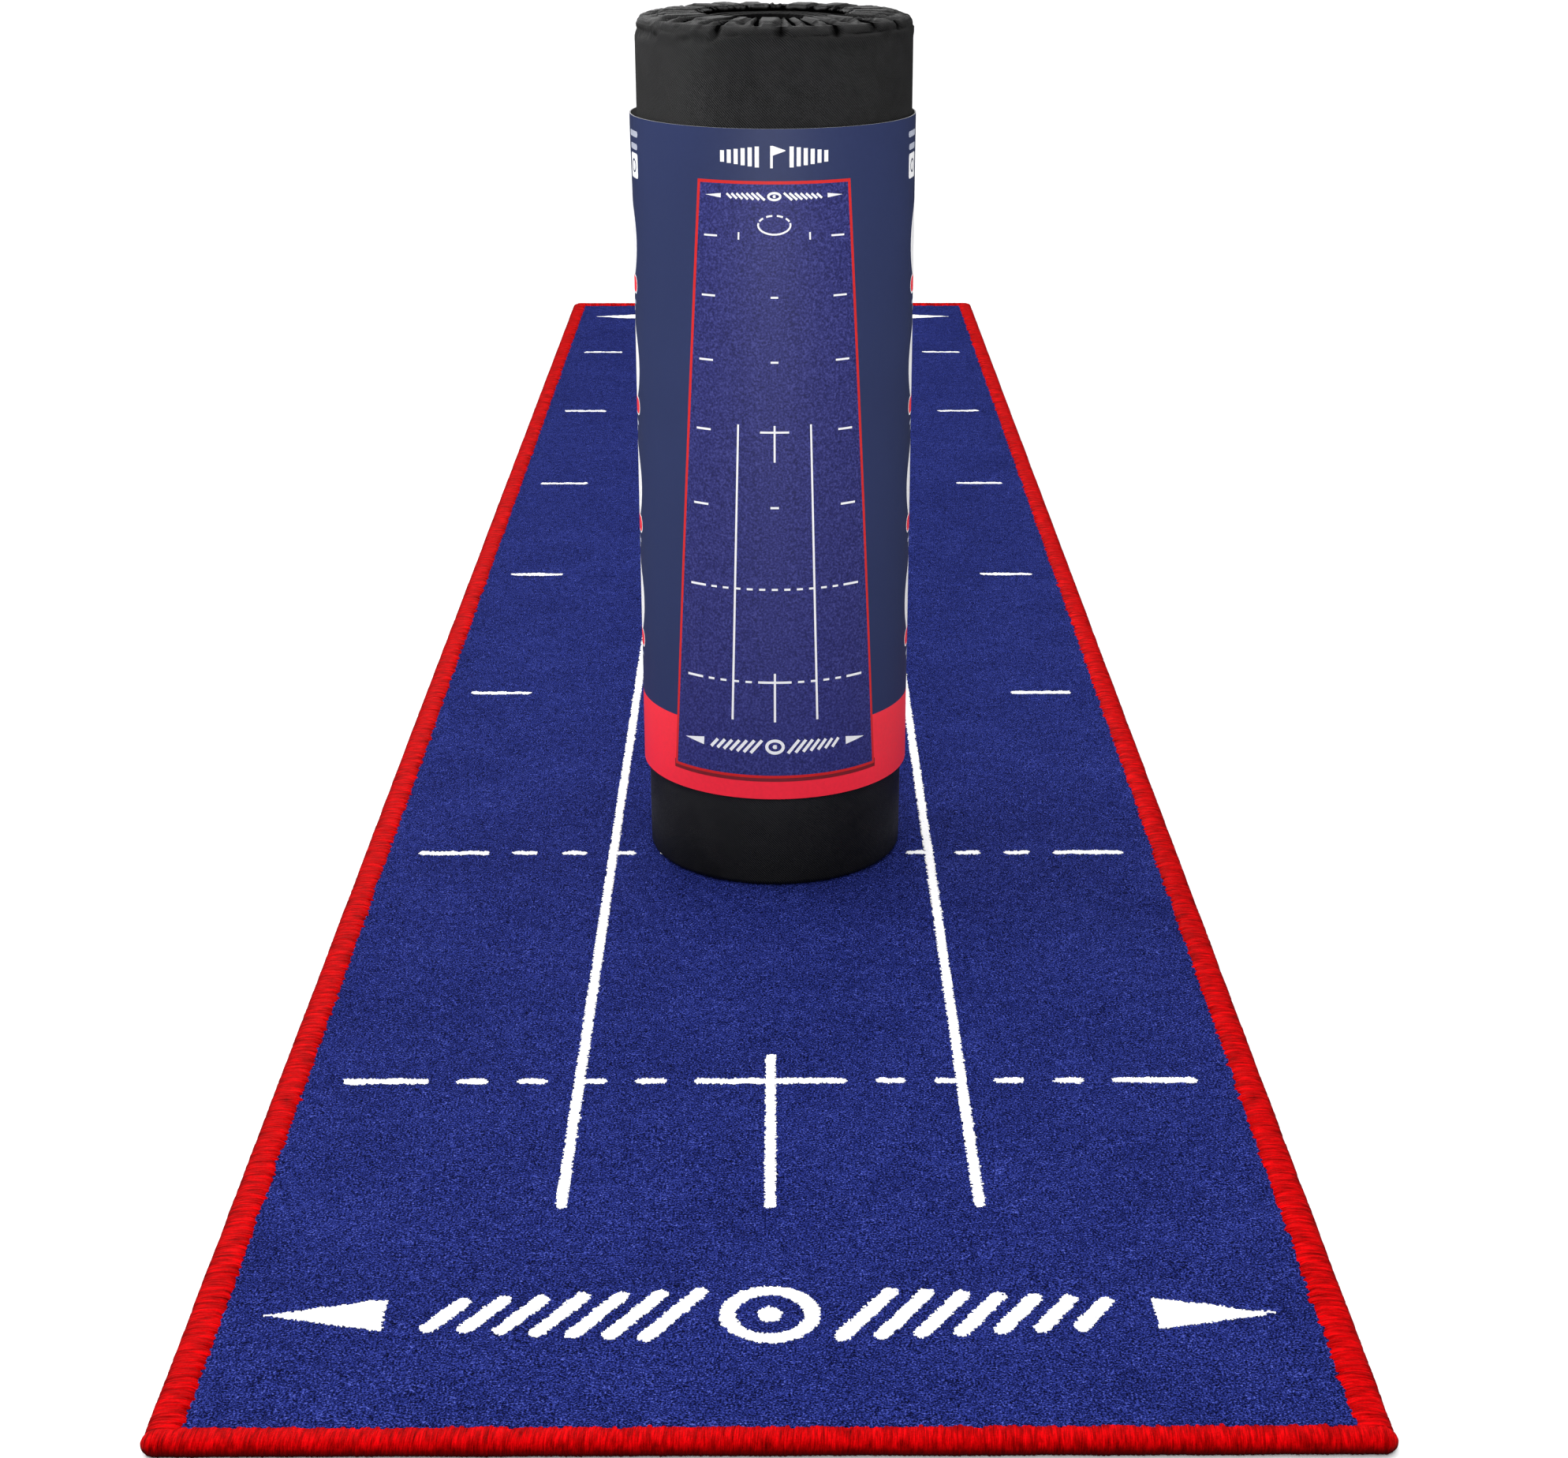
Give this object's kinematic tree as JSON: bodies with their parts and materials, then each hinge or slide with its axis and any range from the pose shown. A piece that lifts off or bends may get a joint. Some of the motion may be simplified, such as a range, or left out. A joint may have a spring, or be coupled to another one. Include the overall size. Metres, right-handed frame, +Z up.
{
  "type": "practice putting mat",
  "caption": "Long navy pile putting mat with printed aiming marks and red overlocked edges, beside a rolled mat in a black carry bag with a card sleeve.",
  "frame": {"origin": "centre of the laid mat's underside, on the floor", "axes": "+Y along the mat away from the standing bag's end, +X across the mat, +Z up"},
  "size_m": [0.5, 2.4, 0.5135],
  "materials": {
    "turf_pile": "short dense cut pile, matt",
    "rubber_backing": "matt, fine texture",
    "binding_yarn": "overlocked yarn, matt",
    "dark_binding_yarn": "overlocked yarn, matt",
    "bag_cloth": "twill weave, slight sheen",
    "elastic_cord": "woven elastic, matt",
    "printed_card": "printed card, satin"
  },
  "bodies": {
    "mat": {"backing_middle": "rubber_backing", "turf_middle": "turf_pile", "left_binding_middle": "binding_yarn", "right_binding_middle": "binding_yarn"},
    "near_end": {"backing_near_end": "rubber_backing", "turf_near_end": "turf_pile", "left_binding_near_end": "binding_yarn", "right_binding_near_end": "binding_yarn", "front_binding": "binding_yarn"},
    "far_end": {"backing_far_end": "rubber_backing", "turf_far_end": "turf_pile", "left_binding_far_end": "binding_yarn", "right_binding_far_end": "binding_yarn", "rear_binding": "binding_yarn"},
    "carry_bag": {"bag_wall": "bag_cloth", "bag_base": "bag_cloth", "gathered_top": "bag_cloth", "hem_elastic": "elastic_cord"},
    "rolled_mat": {"roll_turf": "turf_pile", "roll_backing": "rubber_backing", "roll_binding_bottom": "dark_binding_yarn", "roll_binding_top": "dark_binding_yarn", "roll_binding_inner_end": "dark_binding_yarn", "roll_binding_outer_end": "dark_binding_yarn"},
    "sleeve": {"card_sleeve": "printed_card"}
  },
  "joints": [
    {"name": "near_end_lift", "type": "hinge", "parent": "mat", "child": "near_end", "pos_m": [0, -0.76, 0.0066], "axis": [-1, 0, 0], "range_deg": [0, 90]},
    {"name": "far_end_lift", "type": "hinge", "parent": "mat", "child": "far_end", "pos_m": [0, 0.76, 0.0066], "axis": [1, 0, 0], "range_deg": [0, 90]},
    {"name": "bag_lift", "type": "slide", "parent": "mat", "child": "carry_bag", "axis": [0, 0, 1], "range_m": [0, 0.3]},
    {"name": "roll_draw", "type": "slide", "parent": "carry_bag", "child": "rolled_mat", "axis": [0, 0, 1], "range_m": [0, 0.52], "deforming": ["gathered_top", "hem_elastic"]},
    {"name": "sleeve_draw", "type": "slide", "parent": "carry_bag", "child": "sleeve", "axis": [0, 0, 1], "range_m": [0, 0.47]}
  ]
}
